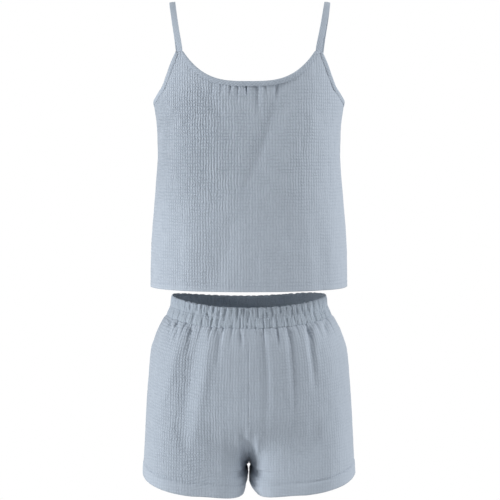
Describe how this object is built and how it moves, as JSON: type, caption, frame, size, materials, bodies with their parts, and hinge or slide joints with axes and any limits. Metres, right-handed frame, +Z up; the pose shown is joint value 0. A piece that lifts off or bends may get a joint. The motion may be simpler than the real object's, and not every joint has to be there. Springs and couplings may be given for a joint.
{
  "type": "short pyjama set of strappy top and shorts",
  "caption": "Short pyjama set in crinkled double gauze: a strappy top with a gathered neckline over pull-on shorts with a shirred elastic waist, both filled out as worn.",
  "frame": {"origin": "midway between the tops of the two shoulder straps, level with them, where the wearer's shoulders hold the top", "axes": "+Z is up the wearer's body, -Y is the front of both garments, +X is towards the wearer's left"},
  "size_m": [0.3729, 0.2464, 0.8519],
  "materials": {
    "top_gauze": "matt, crinkled",
    "shorts_gauze": "matt, crinkled"
  },
  "bodies": {
    "root": {"top_front": "top_gauze", "top_back": "top_gauze", "neck_binding": "top_gauze", "armhole_binding_left": "top_gauze", "armhole_binding_right": "top_gauze", "back_binding": "top_gauze", "strap_left": "top_gauze", "strap_right": "top_gauze", "waistband_front": "shorts_gauze", "waistband_back": "shorts_gauze", "shorts_front_left": "shorts_gauze", "shorts_front_right": "shorts_gauze", "shorts_back_left": "shorts_gauze", "shorts_back_right": "shorts_gauze"}
  },
  "joints": []
}
